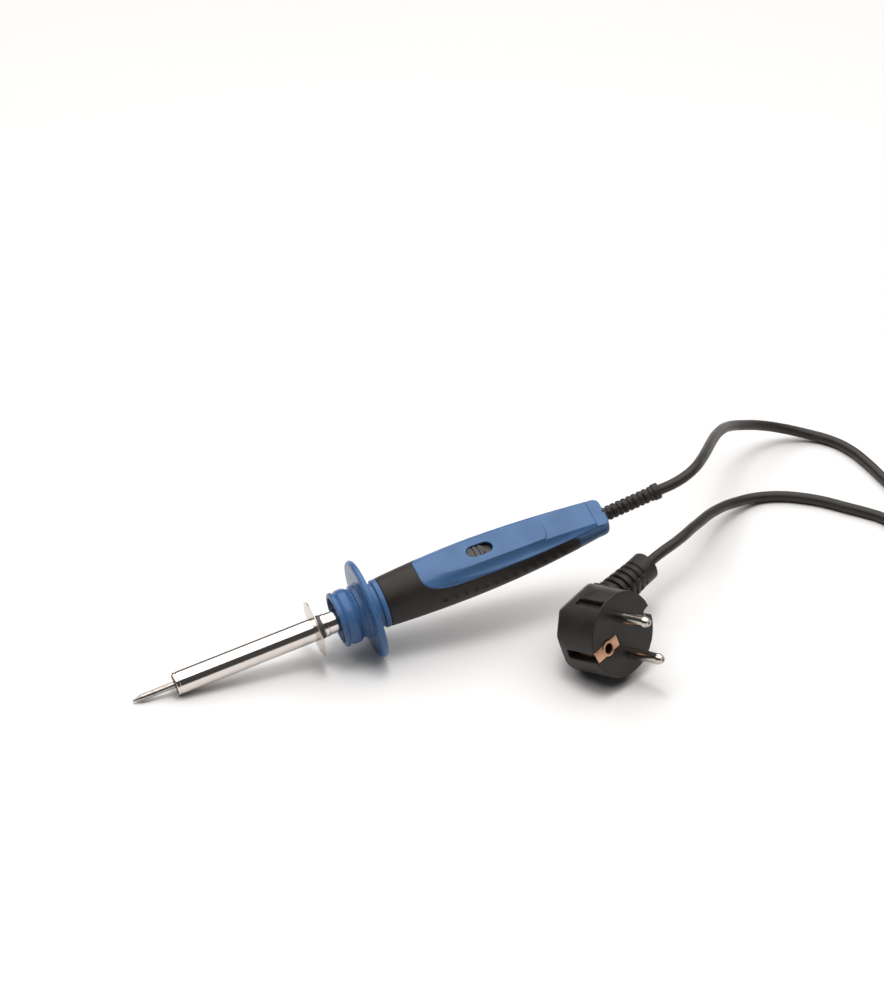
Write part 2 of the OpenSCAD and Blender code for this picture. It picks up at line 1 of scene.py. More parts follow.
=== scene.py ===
"""Electric hot iron with its cord and plug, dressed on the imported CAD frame.

Local lengths are in millimetres and stations along the iron (u) run from its tip to its tail.
"""
import json
import math

import bmesh
import bpy
from mathutils import Matrix, Vector


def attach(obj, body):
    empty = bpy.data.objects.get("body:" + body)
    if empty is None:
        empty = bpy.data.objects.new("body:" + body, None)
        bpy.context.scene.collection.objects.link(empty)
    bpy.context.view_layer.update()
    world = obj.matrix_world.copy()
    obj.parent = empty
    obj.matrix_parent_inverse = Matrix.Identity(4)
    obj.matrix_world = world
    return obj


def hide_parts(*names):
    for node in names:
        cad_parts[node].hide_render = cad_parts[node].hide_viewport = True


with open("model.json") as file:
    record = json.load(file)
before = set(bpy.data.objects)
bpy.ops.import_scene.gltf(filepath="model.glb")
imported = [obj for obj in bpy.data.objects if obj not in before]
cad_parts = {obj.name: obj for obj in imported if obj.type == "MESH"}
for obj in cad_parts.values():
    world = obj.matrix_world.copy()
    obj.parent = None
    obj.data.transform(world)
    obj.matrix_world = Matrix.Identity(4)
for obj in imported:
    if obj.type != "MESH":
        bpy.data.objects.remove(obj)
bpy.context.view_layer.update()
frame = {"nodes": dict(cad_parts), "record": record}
nodes = frame["nodes"]
mounts = {m["name"]: m for m in frame["record"]["mounts"]}
MM = 0.001

# ---------------------------------------------------------------- places from the frame

ROLL = math.radians(12)
AXIS = -Vector(mounts["barrel_seat"]["axis"])
LEAN = math.asin(AXIS.z)
SEAT_U = 51.1
SEAT_TO_FACE = 8.3


def iron_matrix():
    """Local frame of the iron: +X from the tip to the tail, +Z out of the panel, in millimetres."""
    turn = Matrix.Rotation(-LEAN, 4, "Y") @ Matrix.Rotation(ROLL, 4, "X")
    origin = Vector(mounts["barrel_seat"]["pos_m"]) / MM - AXIS * SEAT_U
    return Matrix.Scale(MM, 4) @ Matrix.Translation(origin) @ turn


def plug_matrix():
    """Local frame of the plug: +X out of the face along the pins, +Z along the boot, in millimetres."""
    a, b = (Vector(mounts[n]["pos_m"]) / MM for n in ("plug_pin_a", "plug_pin_b"))
    x = Vector(mounts["plug_pin_a"]["axis"]).normalized()
    y = (b - a).normalized()
    z = x.cross(y)
    turn = Matrix((x, y, z)).transposed().to_4x4()
    return Matrix.Scale(MM, 4) @ Matrix.Translation((a + b) / 2 - x * SEAT_TO_FACE) @ turn


IRON = iron_matrix()
PLUG = plug_matrix()

# ---------------------------------------------------------------- camera

TARGET = Vector((0.04569, 0.06995, 0.01483))
DISTANCE = 2.5
AZIMUTH, ELEVATION, CAMERA_ROLL = math.radians(-20.39), math.radians(36), math.radians(-0.424)
SENSOR, LENS = 36, 207.21
CLIP_RANGE = (0.05, 50)


def make_camera():
    back = Vector((math.cos(ELEVATION) * math.sin(AZIMUTH), -math.cos(ELEVATION) * math.cos(AZIMUTH),
                   math.sin(ELEVATION)))
    data = bpy.data.cameras.new("camera")
    data.sensor_width = SENSOR
    data.lens = LENS
    data.clip_start, data.clip_end = CLIP_RANGE
    camera = bpy.data.objects.new("camera", data)
    bpy.context.collection.objects.link(camera)
    look = (-back).to_track_quat("-Z", "Y").to_matrix().to_4x4()
    camera.matrix_world = (Matrix.Translation(TARGET + DISTANCE * back) @ look
                           @ Matrix.Rotation(CAMERA_ROLL, 4, "Z"))
    bpy.context.scene.camera = camera


make_camera()

# ---------------------------------------------------------------- cord

CORD_D = 4.6
COIL = Vector((269, -26, 0))
COIL_OUT, COIL_IN, COIL_LAST = 34.0, 18.4, 33.6
TURNS_IN, TURNS_OUT, TURN_STEPS = 3.36, 3.35, 14
COIL_START = math.radians(90)
RELIEF_BEND = math.radians(3.4)
HANDLE_END, RELIEF_LEN = 216.0, 26.0
BOOT_X, BOOT_Z, BOOT_END = -25.0, 21.0, 45.0
BOOT_RUN = 6


def relief_matrix():
    """Frame of the strain relief outside the handle, bent up a little from the handle's own axis."""
    return (IRON @ Matrix.Translation((HANDLE_END, 0, 0)) @ Matrix.Rotation(-ROLL, 4, "X")
            @ Matrix.Rotation(-RELIEF_BEND, 4, "Y"))


RELIEF = relief_matrix()
EXIT = RELIEF @ Vector((RELIEF_LEN, 0, 0)) / MM
PLUG_EXIT = PLUG @ Vector((BOOT_X, 0, BOOT_END)) / MM
PLUG_OUT = (PLUG.to_3x3() @ Vector((0, 0, 1))).normalized()
# The cord's way from the strain relief to the coil, and from the coil to the plug.
LEAD = [(124.8, 0, 50.16), (131, 1.8, 51.2), (137.3, 6.3, 51), (142.8, 12.7, 49.4),
        (149.8, 22.7, 46), (158.3, 36.1, 40.6), (166.8, 49, 34), (176.3, 61, 26.5), (187.2, 69.4, 19),
        (199.2, 74.3, 12.4), (210.6, 75.2, 7), (220.1, 72.6, 3.6), (228, 66.5, 2.4), (233.4, 56.9, 2.4),
        (236.8, 43.3, 2.4), (238.7, 30.3, 2.4), (240.7, 21.7, 2.4), (245.1, 14.7, 2.4), (251.6, 9.9, 2.4),
        (260, 8, 2.4)]
TAIL = [(235.4, -28.8, 6), (233.5, -17.7, 4.4), (230.6, -6.7, 2.8), (226.6, 3.9, 2.4), (220.7, 11, 2.4),
        (214.3, 17.5, 2.4), (207.3, 24.6, 2.4), (199.4, 30.7, 2.4), (191, 35.3, 2.4), (181.5, 37.4, 2.8),
        (170.4, 34.5, 5.3), (156.2, 25, 11.1), (139.8, 9.7, 17.6), (126.5, -2.6, 21.6)]


def coil_points():
    """Two flat layers of turns: the lower one runs inwards, the upper one back outwards."""
    low, high = CORD_D / 2 + 0.3, CORD_D * 1.5 + 0.2
    points = []
    n = round(TURNS_IN * TURN_STEPS)
    for i in range(1, n + 1):
        t = i / n
        turn = TURNS_IN * t
        points.append((COIL_START - 2 * math.pi * turn, COIL_OUT + (COIL_IN - COIL_OUT) * t, low))
    m = round(TURNS_OUT * TURN_STEPS)
    for i in range(1, m + 1):
        t = i / m
        turn = TURNS_IN + TURNS_OUT * t
        rise = min(1, 3 * t * TURNS_OUT)
        points.append((COIL_START - 2 * math.pi * turn, COIL_IN + (COIL_LAST - COIL_IN) * t,
                       low + (high - low) * rise))
    return [COIL + Vector((r * math.cos(a), r * math.sin(a), z)) for a, r, z in points]


def make_cord():
    data = bpy.data.curves.new("mains_cord", "CURVE")
    data.dimensions = "3D"
    data.bevel_depth = CORD_D / 2 * MM
    data.bevel_resolution = 5
    data.resolution_u = 6
    data.use_fill_caps = True
    route = ([EXIT] + [Vector(p) for p in LEAD] + coil_points() + [Vector(p) for p in TAIL]
             + [PLUG_EXIT + BOOT_RUN * PLUG_OUT, PLUG_EXIT])
    spline = data.splines.new("BEZIER")
    spline.bezier_points.add(len(route) - 1)
    for point, place in zip(spline.bezier_points, route):
        point.co = place * MM
        point.handle_left_type = point.handle_right_type = "AUTO"
    cord = bpy.data.objects.new("mains_cord", data)
    bpy.context.collection.objects.link(cord)
    length = sum((b - a).length for a, b in zip(route, route[1:])) * MM
    return cord, length


cord, cord_length = make_cord()

# ---------------------------------------------------------------- mesh tools


def new_object(name, vertices, faces, matrix, sharp=38):
    """Mesh object from local points. Corners of more than sharp degrees stay sharp."""
    mesh = bpy.data.meshes.new(name)
    mesh.from_pydata([matrix @ Vector(v) for v in vertices], [], faces)
    obj = bpy.data.objects.new(name, mesh)
    bpy.context.collection.objects.link(obj)
    finish_mesh(obj, sharp)
    return obj


def finish_mesh(obj, sharp):
    """Welds the mesh, turns its faces outwards and marks the edges that stay sharp."""
    bm = bmesh.new()
    bm.from_mesh(obj.data)
    bmesh.ops.remove_doubles(bm, verts=bm.verts, dist=2e-7)
    bmesh.ops.dissolve_degenerate(bm, edges=bm.edges, dist=1e-7)
    bmesh.ops.recalc_face_normals(bm, faces=bm.faces)
    for face in bm.faces:
        face.smooth = True
    for edge in bm.edges:
        if len(edge.link_faces) == 2:
            edge.smooth = edge.calc_face_angle(0) < math.radians(sharp)
    bm.to_mesh(obj.data)
    bm.free()


def rounded(points, steps=5):
    """Outline with arcs at its corners: each point is (x, y) or (x, y, radius)."""
    out = []
    count = len(points)
    for i, p in enumerate(points):
        corner = Vector(p[:2])
        radius = p[2] if len(p) > 2 else 0
        before = Vector(points[i - 1][:2]) - corner
        after = Vector(points[(i + 1) % count][:2]) - corner
        angle = before.angle(after, 0) if radius else 0
        if not 0 < angle <= math.radians(176):
            out.append(corner)
            continue
        reach = min(radius / math.tan(angle / 2), before.length * 0.49, after.length * 0.49)
        r = reach * math.tan(angle / 2)
        a, b = corner + before.normalized() * reach, corner + after.normalized() * reach
        inwards = (before.normalized() + after.normalized()).normalized()
        centre = corner + inwards * (r / math.sin(angle / 2))
        va, vb = a - centre, b - centre
        sweep = va.angle_signed(vb)
        for k in range(steps + 1):
            t = -sweep * k / steps
            c, s = math.cos(t), math.sin(t)
            out.append(centre + Vector((va.x * c - va.y * s, va.x * s + va.y * c)))
    return out


def lathe(name, outline, matrix, sides, closed=True, sharp=44):
    """Solid of revolution about local X, its outline of (x, radius) closed on itself or by the axis."""
    vertices, faces = [], []
    for x, r in outline:
        for k in range(sides):
            a = 2 * math.pi * k / sides
            vertices.append((x, max(r, 0) * math.cos(a), max(r, 0) * math.sin(a)))
    n = len(outline)
    for i in range(n if closed else n - 1):
        j = (i + 1) % n
        for k in range(sides):
            m = (k + 1) % sides
            faces.append((i * sides + k, i * sides + m, j * sides + m, j * sides + k))
    return new_object(name, vertices, faces, matrix, sharp=sharp)


def shell_grid(name, outer, inner, matrix, wrap=False, sharp=50):
    """Closed sheet between two grids of points that have the same rows and columns."""
    rows, cols = len(outer), len(outer[0])
    vertices = [p for row in outer for p in row] + [p for row in inner for p in row]
    base = rows * cols
    faces = []
    span = cols if wrap else cols - 1
    for i in range(rows - 1):
        for k in range(span):
            m = (k + 1) % cols
            a, b, c, d = i * cols + k, i * cols + m, (i + 1) * cols + m, (i + 1) * cols + k
            faces.append((a, b, c, d))
            faces.append((base + d, base + c, base + b, base + a))
    for i in (0, rows - 1):
        for k in range(span):
            m = (k + 1) % cols
            faces.append((i * cols + k, base + i * cols + k, base + i * cols + m, i * cols + m))
    if not wrap:
        for k in (0, cols - 1):
            for i in range(rows - 1):
                a, b = i * cols + k, (i + 1) * cols + k
                faces.append((a, b, base + b, base + a))
    return new_object(name, vertices, faces, matrix, sharp=sharp)


def prism(outline, low, high, frame_of=lambda x, y, z: (x, y, z)):
    """Vertices and faces of an extruded outline, mapped by frame_of."""
    n = len(outline)
    vertices = [frame_of(p[0], p[1], level) for level in (low, high) for p in outline]
    faces = [tuple(range(n))[::-1], tuple(range(n, 2 * n))]
    faces += [(i, (i + 1) % n, n + (i + 1) % n, n + i) for i in range(n)]
    return vertices, faces


def apply_modifiers(obj):
    graph = bpy.context.evaluated_depsgraph_get()
    mesh = bpy.data.meshes.new_from_object(obj.evaluated_get(graph))
    old = obj.data
    obj.modifiers.clear()
    obj.data = mesh
    mesh.name = old.name
    bpy.data.meshes.remove(old)


def boolean(obj, tools, operation="DIFFERENCE"):
    for tool in tools:
        m = obj.modifiers.new("cut", "BOOLEAN")
        m.operation = operation
        m.solver = "EXACT"
        m.object = tool
        apply_modifiers(obj)
        bpy.data.objects.remove(tool)
    return obj


def bevel(obj, width):
    m = obj.modifiers.new("edges", "BEVEL")
    m.width = width * MM
    m.segments = 2
    m.limit_method = "ANGLE"
    m.angle_limit = math.radians(30)
    m.harden_normals = False
    apply_modifiers(obj)
    finish_mesh(obj, 40)
    return obj


def remeshed(obj, voxel, passes=4):
    """One skin over everything in obj, with its edges worn round by smoothing."""
    m = obj.modifiers.new("skin", "REMESH")
    m.mode = "VOXEL"
    m.voxel_size = voxel * MM
    m.adaptivity = 0
    s = obj.modifiers.new("soften", "SMOOTH")
    s.factor = 0.5
    s.iterations = passes
    apply_modifiers(obj)
    for polygon in obj.data.polygons:
        polygon.use_smooth = True
    return obj


def join(name, objects):
    """One mesh object from several."""
    bm = bmesh.new()
    for obj in objects:
        bm.from_mesh(obj.data)
        bpy.data.objects.remove(obj)
    mesh = bpy.data.meshes.new(name)
    bm.to_mesh(mesh)
    bm.free()
    whole = bpy.data.objects.new(name, mesh)
    bpy.context.collection.objects.link(whole)
    return whole


def smooth_step(low, high, x):
    t = min(1, max(0, (x - low) / (high - low)))
    return t * t * (3 - 2 * t)


def soft_min(a, b, k):
    h = min(1, max(0, 0.5 + 0.5 * (b - a) / k))
    return b * (1 - h) + a * h - k * h * (1 - h)


# ---------------------------------------------------------------- materials


def shade(colour, by, add=0.0):
    return tuple(c * by + add for c in colour)


class Paint:
    """A node material built from object-space noise, so that its grain has a real size."""

    def __init__(self, name):
        self.material = bpy.data.materials.new(name)
        self.material.use_nodes = True
        self.tree = self.material.node_tree
        self.shader = self.tree.nodes["Principled BSDF"]
        self.coordinates = self.tree.nodes.new("ShaderNodeTexCoord").outputs["Object"]
        self.normal = None

    def node(self, kind, **inputs):
        node = self.tree.nodes.new(kind)
        for key, value in inputs.items():
            self.link(value, node.inputs[key])
        return node

    def link(self, value, socket):
        if hasattr(value, "is_output"):
            self.tree.links.new(value, socket)
        else:
            socket.default_value = value

    def noise(self, size, detail=3.0, stretch=(1, 1, 1)):
        """Noise whose grains are about size millimetres across, longer along an axis by its stretch."""
        mapping = self.node("ShaderNodeMapping", Vector=self.coordinates)
        mapping.inputs["Scale"].default_value = [1 / s for s in stretch]
        out = self.node("ShaderNodeTexNoise", Vector=mapping.outputs[0], Scale=1 / (size * MM),
                        Detail=detail)
        return out.outputs["Fac"]

    def ramp(self, value, low, high, start=0.0, end=1.0):
        """Value between low and high mapped to start and end."""
        node = self.tree.nodes.new("ShaderNodeMapRange")
        self.link(value, node.inputs["Value"])
        for key, x in (("From Min", low), ("From Max", high), ("To Min", start), ("To Max", end)):
            node.inputs[key].default_value = x
        return node.outputs[0]

    def mix(self, factor, a, b):
        node = self.tree.nodes.new("ShaderNodeMix")
        node.data_type = "RGBA"
        self.link(factor, node.inputs[0])
        for socket, colour in ((node.inputs[6], a), (node.inputs[7], b)):
            self.link((*colour, 1) if isinstance(colour, tuple) else colour, socket)
        return node.outputs[2]

    def bump(self, height, depth):
        """Adds relief of depth millimetres."""
        node = self.node("ShaderNodeBump", Height=height, Strength=1.0, Distance=depth * MM)
        if self.normal is not None:
            self.tree.links.new(self.normal, node.inputs["Normal"])
        self.normal = node.outputs[0]
        self.tree.links.new(self.normal, self.shader.inputs["Normal"])

    def set(self, **values):
        for key, value in values.items():
            socket = self.shader.inputs[key.replace("_", " ")]
            self.link((*value, 1) if isinstance(value, tuple) else value, socket)
        return self


def moulded(name, colour, rough=0.42, depth=0.012, spec=0.5):
    """Moulded plastic with a fine eroded grain and faint flow marks."""
    p = Paint(name)
    flow = p.ramp(p.noise(14, 2), 0.35, 0.65)
    speck = p.ramp(p.noise(0.35, 4), 0.3, 0.7)
    base = p.mix(flow, shade(colour, 0.86), shade(colour, 1.1, 0.004))
    base = p.mix(p.ramp(speck, 0, 1, 0.0, 0.35), base, shade(colour, 0.8))
    p.set(Base_Color=base, Roughness=p.ramp(speck, 0, 1, rough - 0.05, rough + 0.07),
          Specular_IOR_Level=spec)
    p.bump(speck, depth)
    return p.material


def soft_rubber(name, colour, rough, sheen):
    """Soft rubber: dull, finely pitted, with dusty light patches."""
    p = Paint(name)
    cloud = p.ramp(p.noise(9, 3), 0.35, 0.7)
    pits = p.ramp(p.noise(0.22, 3), 0.35, 0.65)
    base = p.mix(cloud, colour, shade(colour, 1.25, 0.004))
    base = p.mix(p.ramp(pits, 0, 1, 0.3, 0.0), base, shade(colour, 0.6))
    p.set(Base_Color=base, Roughness=p.ramp(cloud, 0, 1, rough - 0.05, rough + 0.08),
          Specular_IOR_Level=0.3, Sheen_Weight=sheen, Sheen_Roughness=0.5)
    p.bump(pits, 0.015)
    return p.material


def plated(name, colour, rough, scratch=0.05, stretch=(40, 1, 1), stain=None):
    """Polished or plated metal with drawn lines, faint clouding and optional heat stains."""
    p = Paint(name)
    lines = p.ramp(p.noise(0.12, 2, stretch), 0.3, 0.7)
    cloud = p.ramp(p.noise(6, 3), 0.3, 0.7)
    base = p.mix(p.ramp(cloud, 0, 1, 0.0, 0.35), colour, shade(colour, 0.82))
    if stain:
        base = p.mix(p.ramp(p.noise(3.5, 4), 0.5, 0.68, 0.0, 0.35), base, stain)
    p.set(Base_Color=base, Metallic=1.0, Roughness=p.ramp(lines, 0, 1, rough, rough + scratch + 0.03))
    p.bump(lines, 0.002)
    return p.material


def plain(name, colour, rough, metal=0.0, size=0.5, depth=0.01):
    """Small inner parts: one colour with a fine grain."""
    p = Paint(name)
    grain = p.ramp(p.noise(size, 4), 0.3, 0.7)
    p.set(Base_Color=p.mix(grain, shade(colour, 0.8), colour), Metallic=metal,
          Roughness=p.ramp(grain, 0, 1, rough - 0.06, rough + 0.08))
    p.bump(grain, depth)
    return p.material


def striped(name, colour, band):
    """Wire insulation with a stripe of a second colour along one side."""
    p = Paint(name)
    stripe = p.ramp(p.noise(2.2, 1, (8, 1, 1)), 0.48, 0.52)
    p.set(Base_Color=p.mix(stripe, colour, band), Roughness=p.ramp(p.noise(0.6), 0.3, 0.7, 0.3, 0.42))
    p.bump(p.noise(0.4), 0.01)
    return p.material


BLUE = (0.042, 0.104, 0.225)
BLACK = (0.0125, 0.0088, 0.0064)
RECIPES = {
    "blue_plastic": (moulded, dict(colour=BLUE, rough=0.36, spec=0.34)),
    "glossy_blue": (moulded, dict(colour=(0.043, 0.108, 0.245), rough=0.27, depth=0.006, spec=0.30)),
    "soft_grip": (soft_rubber, dict(colour=BLACK, rough=0.5, sheen=0.04)),
    "black_rubber": (soft_rubber, dict(colour=(0.0145, 0.0120, 0.0098), rough=0.42, sheen=0.02)),
    "cord_rubber": (soft_rubber, dict(colour=(0.021, 0.0175, 0.0145), rough=0.36, sheen=0.02)),
    "barrel_metal": (plated, dict(colour=(0.72, 0.67, 0.63), rough=0.06, scratch=0.03)),
    "plate_metal": (plated, dict(colour=(0.64, 0.59, 0.55), rough=0.2, scratch=0.1, stretch=(1, 1, 1))),
    "tip_metal": (plated, dict(colour=(0.40, 0.37, 0.345), rough=0.16, scratch=0.1,
                               stain=(0.25, 0.17, 0.10))),
    "pin_metal": (plated, dict(colour=(0.54, 0.50, 0.45), rough=0.12)),
    "screw_metal": (plain, dict(colour=(0.55, 0.54, 0.52), rough=0.3, metal=1.0)),
    # dark_metal: near black and matte; on the spacer ring behind the heat disc this colour is painted
    # shade.
    "dark_metal": (plain, dict(colour=(0.05, 0.045, 0.04), rough=0.45)),
    "copper": (plain, dict(colour=(0.62, 0.36, 0.23), rough=0.33, metal=1.0, size=0.8)),
    "brass": (plain, dict(colour=(0.66, 0.47, 0.22), rough=0.32, metal=1.0)),
    "ceramic": (plain, dict(colour=(0.74, 0.70, 0.60), rough=0.6)),
    "heater_wire": (plain, dict(colour=(0.35, 0.32, 0.30), rough=0.45, metal=1.0)),
    "mica": (plain, dict(colour=(0.58, 0.48, 0.30), rough=0.35, size=3)),
    "knob_plastic": (moulded, dict(colour=(0.035, 0.032, 0.029), rough=0.36, spec=0.4)),
    "case_plastic": (moulded, dict(colour=(0.02, 0.022, 0.025), rough=0.5)),
    "lead_sleeve": (plain, dict(colour=(0.68, 0.63, 0.52), rough=0.85, size=0.3, depth=0.05)),
    "wire_brown": (striped, dict(colour=(0.16, 0.06, 0.03), band=(0.14, 0.05, 0.025))),
    "wire_blue": (striped, dict(colour=(0.03, 0.10, 0.32), band=(0.03, 0.09, 0.28))),
    "wire_green": (striped, dict(colour=(0.10, 0.30, 0.05), band=(0.65, 0.55, 0.05))),
    "bridge_plastic": (moulded, dict(colour=(0.62, 0.59, 0.52))),
}
PAINTS = {name: recipe(name, **values) for name, (recipe, values) in RECIPES.items()}


def dress(obj, slot_name, body, *replaced, paint=None):
    """Gives a piece its material and body, and hides the CAD nodes it stands for."""
    obj.data.materials.clear()
    obj.data.materials.append(PAINTS[paint or slot_name])
    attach(obj, body)
    if replaced:
        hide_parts(*replaced)
    return obj


for entry in frame["record"]["subparts"]:
    node = nodes[entry["node"]]
    node.data.materials.clear()
    node.data.materials.append(PAINTS[entry["material_slot"]])

# ---------------------------------------------------------------- handle surface

# Stations end in _U and radii in _R. The cover is the blue top half, the panel its flat top, the cove the
# hollow along each side of it, and the seam the line where it meets the grip.
BELLY_U, BELLY_R = 152.0, 12.1
GRIP_U, GRIP_FRONT_R = 113.8, 10.7
TAIL_U, TAIL_R, RELIEF_R = 211.0, 8.2, 3.2
COVER_U, NOSE_LEN, PANEL_Z, SEAM_Z = 130.4, 17.0, 11.3, 5.5
PANEL_SLOPE = math.tan(math.radians(3.4))
STEP_U, STEP_DROP, REAR_DROP = 188.6, 0.7, 0.092
STEP_CORNER, STEP_HALF_WIDTH = 3.6, 8.2
LEDGE_U, LEDGE_DROP, END_DROP = 209.8, 1.3, 0.3
SEAM_SLOPE = 0.036
COVE_R, COVE_U = 5.35, 140.5
COVE_FROM, COVE_Y, COVE_Z, COVE_IN, COVE_DOWN = 136, 12.5, 12.5, 0.0236, 0.0559
GRIP_END_U, GRIP_CORNER = 199.0, 2.6
SLANT_U, SLANT = 201.0, 15
COVER_WALL, TAIL_WALL, GRIP_WALL, CORE_R = 1.5, 1.6, 1.7, 2.5
TAIL_GAP = 0.12
SLOT_U, SLOT_LEN, SLOT_W = 159.25, 11.8, 6.4
MARK_PITCH, MARK_LEN, MARK_W, MARK_H, MARK_COUNT, MARKS_U = 4.6, 2.4, 1.2, 0.5, 13, 135.5
MARK_LEAN, GROOVE_BEHIND, GROOVE_DEPTH = 0.35, 1.1, 0.6
FAR = 30


def skin_r(u):
    """Radius of the handle's round outside at station u."""
    if u <= TAIL_U:
        swell = (BELLY_R - GRIP_FRONT_R) / (BELLY_U - GRIP_U) ** 2
        if u > BELLY_U:
            swell = (BELLY_R - TAIL_R) / (TAIL_U - BELLY_U) ** 2
        return BELLY_R - (u - BELLY_U) ** 2 * swell
    run = min(1, (u - TAIL_U) / (HANDLE_END - TAIL_U))
    return RELIEF_R + (TAIL_R - RELIEF_R) * max(0, 1 - run ** 4) ** 0.25


def panel_height(u, y):
    """Height of the cover's flat top, with the low step behind the switch and the bevelled end."""
    flat = PANEL_Z - (u - COVER_U) * PANEL_SLOPE
    end = PANEL_Z - (STEP_U - COVER_U) * PANEL_SLOPE
    rear = end - STEP_DROP - (u - STEP_U) * REAR_DROP
    corner = STEP_CORNER * min(1, abs(y) / STEP_HALF_WIDTH) ** 4
    blend = smooth_step(STEP_U - corner - 0.2, STEP_U - corner + 0.35, u)
    height = flat * (1 - blend) + (flat - STEP_DROP if u < STEP_U else rear) * blend
    if u > LEDGE_U:
        height -= LEDGE_DROP * smooth_step(LEDGE_U, LEDGE_U + 1, u)
        height -= END_DROP * smooth_step(LEDGE_U + 1, HANDLE_END, u)
    return height


def seam_height(u):
    """Height of the line where the cover meets the grip: round its nose, then nearly straight."""
    if u < COVER_U + NOSE_LEN:
        a = math.acos(min(1, max(-1, 1 - (u - COVER_U) / NOSE_LEN)))
        return PANEL_Z + (SEAM_Z - PANEL_Z) * math.sin(a)
    return SEAM_Z - (u - COVER_U - NOSE_LEN) * SEAM_SLOPE


def seam_angle(u):
    return math.asin(min(0.9995, seam_height(u) / skin_r(u)))


def cover_r(u, a):
    """Distance of the cover's surface from the axis, at station u and angle a above the horizontal.

    The round outside is cut by the flat panel and by a cove, a hollow cylinder, along each side.
    """
    r = skin_r(u)
    c, s = math.cos(a), math.sin(a)
    if s > 0.05:
        soft = 0.28 + 1.2 * (1 - smooth_step(COVE_U - 6, COVE_U - 1, u))
        r = soft_min(r, panel_height(u, r * c) / s, soft)
    cy, cz = COVE_Y - (u - COVE_FROM) * COVE_IN, COVE_Z - (u - COVE_FROM) * COVE_DOWN
    radius = COVE_R if u >= COVE_U else math.sqrt(max(0, COVE_R ** 2 - ((COVE_U - u) * 2) ** 2))
    if radius > 0.2:
        along = abs(c) * cy + s * cz
        reach = along * along - cy * cy - cz * cz + radius * radius
        if reach > 0:
            r = soft_min(r, along - math.sqrt(reach), 0.3)
    return r


def stations(spans):
    """Stations along the handle, from spans of (start, end, spacing)."""
    out = []
    for start, end, spacing in spans:
        n = max(1, round((end - start) / spacing))
        out += [start + (end - start) * i / n for i in range(n)]
    return out + [spans[-1][1]]


def edge_dip(distance, depth=0.35, width=0.45):
    """How far a surface rolls down towards an edge that is distance away."""
    t = max(0, 1 - distance / width)
    return depth * (1 - math.sqrt(max(0, 1 - t * t)))


def slanted_end(z):
    """Station of the grip's slanted end at height z."""
    return SLANT_U - z / SLANT


def grip_end(angle):
    """Station where the soft grip ends at this angle, with its upper corner rounded."""
    end = slanted_end(skin_r(GRIP_END_U) * math.sin(angle))
    below = (seam_angle(GRIP_END_U) - angle) * skin_r(GRIP_END_U)
    if below < GRIP_CORNER:
        end -= GRIP_CORNER - math.sqrt(max(0, GRIP_CORNER ** 2 - (GRIP_CORNER - below) ** 2))
    return end


def polar(u, r, a):
    return (u, r * math.cos(a), r * math.sin(a))


def nose_stations(first):
    """Stations along the cover's round nose, every 3 degrees from the angle first."""
    return [COVER_U + NOSE_LEN * (1 - math.cos(math.radians(a))) for a in range(first, 90, 3)]


def make_cover():
    us = nose_stations(0) + stations([
        (COVER_U + NOSE_LEN, 184, 0.7), (184, 189.2, 0.13), (189.2, 209.6, 0.6), (209.6, 211, 0.14),
        (211, 214.8, 0.3), (214.8, HANDLE_END, 0.1)])
    columns = 150
    outer, inner = [], []
    for u in us:
        low = seam_angle(u)
        row, under = [], []
        for k in range(columns + 1):
            a = low + (math.pi - 2 * low) * k / columns
            distance = min(a - low, math.pi - low - a) * skin_r(u)
            front = (u - COVER_U) * 1.2 if u < COVER_U + 2 else 9
            r = cover_r(u, a) - edge_dip(min(distance, front))
            row.append(polar(u, r, a))
            under.append(polar(u, max(r - COVER_WALL, CORE_R), a))
        outer.append(row)
        inner.append(under)
    cover = shell_grid("handle_cover", outer, inner, IRON)
    vertices, faces = prism(stadium(SLOT_LEN, SLOT_W), -6, 3)
    return boolean(cover, [new_object("cutter", vertices, faces, panel_matrix(SLOT_U))])


def stadium(length, width, steps=16):
    """Outline with two straight sides and two round ends."""
    reach = (length - width) / 2
    points = []
    for side in (1, -1):
        for k in range(steps + 1):
            a = math.pi * (k / steps - 0.5)
            points.append((side * (reach + width / 2 * math.cos(a)), side * width / 2 * math.sin(a)))
    return points


def panel_matrix(u):
    """Frame on the panel at station u, +Z out of it."""
    return (IRON @ Matrix.Translation((u, 0, PANEL_Z - (u - COVER_U) * PANEL_SLOPE))
            @ Matrix.Rotation(math.atan(PANEL_SLOPE), 4, "Y"))


def make_lower_tail():
    """Blue end of the lower shell, behind the soft grip."""
    columns, rows = 130, 60
    outer, inner = [], []
    for i in range(rows + 1):
        t = i / rows
        row, under = [], []
        for k in range(columns + 1):
            f = k / columns
            u = GRIP_END_U
            for _ in range(4):  # the angle and the station depend on each other
                low = seam_angle(u)
                a = low - (math.pi + 2 * low) * f
                start = grip_end(a if a > -math.pi / 2 else -math.pi - a) + TAIL_GAP
                u = start + (HANDLE_END - start) * (1 - (1 - t) ** 1.8)
            distance = min(f, 1 - f) * (math.pi + 2 * low) * skin_r(u)
            r = skin_r(u) - edge_dip(distance, 0.25, 0.35) - edge_dip(u - start, 0.25, 0.35)
            row.append(polar(u, r, a))
            under.append(polar(u, max(r - TAIL_WALL, CORE_R), a))
        outer.append(row)
        inner.append(under)
    return shell_grid("handle_tail", outer, inner, IRON)


